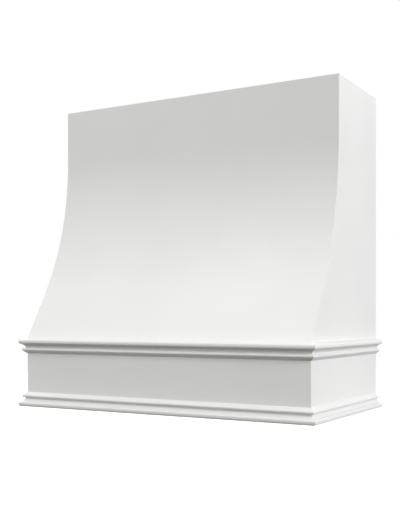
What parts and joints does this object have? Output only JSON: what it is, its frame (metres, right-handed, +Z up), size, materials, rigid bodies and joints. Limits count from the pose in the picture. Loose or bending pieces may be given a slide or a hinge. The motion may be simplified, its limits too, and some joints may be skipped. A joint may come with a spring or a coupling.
{
  "type": "range hood cover",
  "caption": "Wall-hung wooden range hood cover with a swept front, upright sides and a plain apron between two profiled mouldings, on a hidden hanging cleat.",
  "frame": {"origin": "in the wall plane, on the centre line, level with the bottom edge of the lower moulding", "axes": "+X to the right along the wall for a person facing the hood, +Y into the wall, +Z up; the front faces -Y"},
  "size_m": [0.9526, 0.5144, 0.9144],
  "materials": {
    "white_paint": "sprayed satin white paint over smooth wood",
    "plywood": "bare sanded birch plywood",
    "poplar": "bare planed poplar",
    "zinc_screw": "bright zinc-plated steel"
  },
  "bodies": {
    "wall": {"wall_cleat": "poplar"},
    "hood": {"curved_front_skin": "white_paint", "left_side_panel": "white_paint", "right_side_panel": "white_paint", "apron_front_board": "white_paint", "upper_trim_front": "white_paint", "upper_trim_left": "white_paint", "upper_trim_right": "white_paint", "lower_trim_front": "white_paint", "lower_trim_left": "white_paint", "lower_trim_right": "white_paint", "top_panel": "plywood", "apron_shelf": "plywood", "curved_rib_left": "plywood", "curved_rib_right": "plywood", "top_front_rail": "poplar", "top_back_rail": "poplar", "middle_back_rail": "poplar", "bottom_back_rail": "poplar", "insert_cleat_front": "poplar", "insert_cleat_back": "poplar", "insert_cleat_left": "poplar", "insert_cleat_right": "poplar", "apron_corner_block_left": "poplar", "apron_corner_block_right": "poplar", "top_glue_block_left": "poplar", "top_glue_block_right": "poplar", "hanging_cleat": "poplar", "hanging_cleat_screw_1": "zinc_screw", "hanging_cleat_screw_2": "zinc_screw", "hanging_cleat_screw_3": "zinc_screw", "hanging_cleat_screw_4": "zinc_screw", "top_front_screw_1": "zinc_screw", "top_front_screw_2": "zinc_screw", "top_front_screw_3": "zinc_screw", "top_front_screw_4": "zinc_screw", "top_back_screw_1": "zinc_screw", "top_back_screw_2": "zinc_screw", "top_back_screw_3": "zinc_screw", "top_back_screw_4": "zinc_screw", "front_cleat_screw_1": "zinc_screw", "front_cleat_screw_2": "zinc_screw", "front_cleat_screw_3": "zinc_screw", "back_cleat_screw_1": "zinc_screw", "back_cleat_screw_2": "zinc_screw", "back_cleat_screw_3": "zinc_screw", "left_cleat_screw_1": "zinc_screw", "left_cleat_screw_2": "zinc_screw", "right_cleat_screw_1": "zinc_screw", "right_cleat_screw_2": "zinc_screw", "left_rib_screw_1": "zinc_screw", "left_rib_screw_2": "zinc_screw", "right_rib_screw_1": "zinc_screw", "right_rib_screw_2": "zinc_screw"}
  },
  "joints": [
    {"name": "lift_off", "type": "slide", "parent": "wall", "child": "hood", "axis": [0, 0, 1], "range_m": [0, 0.025]}
  ]
}
